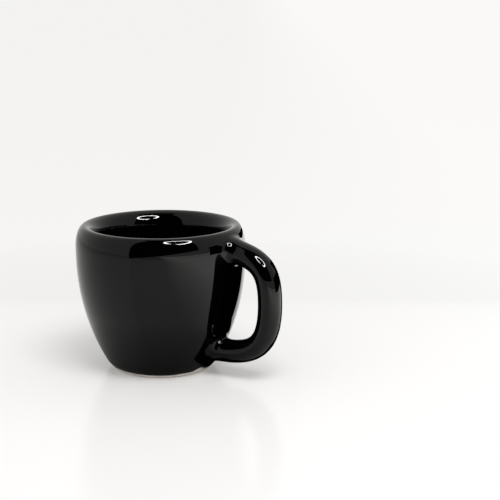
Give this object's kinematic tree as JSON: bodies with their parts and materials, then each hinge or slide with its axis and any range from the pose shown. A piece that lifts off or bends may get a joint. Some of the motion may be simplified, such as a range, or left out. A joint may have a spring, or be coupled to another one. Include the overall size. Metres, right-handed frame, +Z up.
{
  "type": "espresso cup",
  "caption": "Small thick-walled black glazed espresso cup with a rounded lip, a ring handle luted on with slip joints, and a bare clay foot ring.",
  "frame": {"origin": "on the plane that the cup stands on, under the middle of its box, handle included; the cup's own turning axis stands 9.8 mm towards -X", "axes": "+X points from the cup's axis to the handle, +Z points up out of the mouth, and the XZ plane cuts the cup and its handle in half"},
  "size_m": [0.0846, 0.065, 0.0555],
  "materials": {
    "fired_clay": "matt, bare fired clay",
    "fired_slip": "matt, bare fired slip",
    "black_glaze": "mirror gloss glaze"
  },
  "bodies": {
    "root": {"cup_body": "fired_clay", "handle": "fired_clay", "upper_slip_joint": "fired_slip", "lower_slip_joint": "fired_slip", "outer_glaze": "black_glaze", "liner_glaze": "black_glaze", "base_glaze": "black_glaze"}
  },
  "joints": []
}
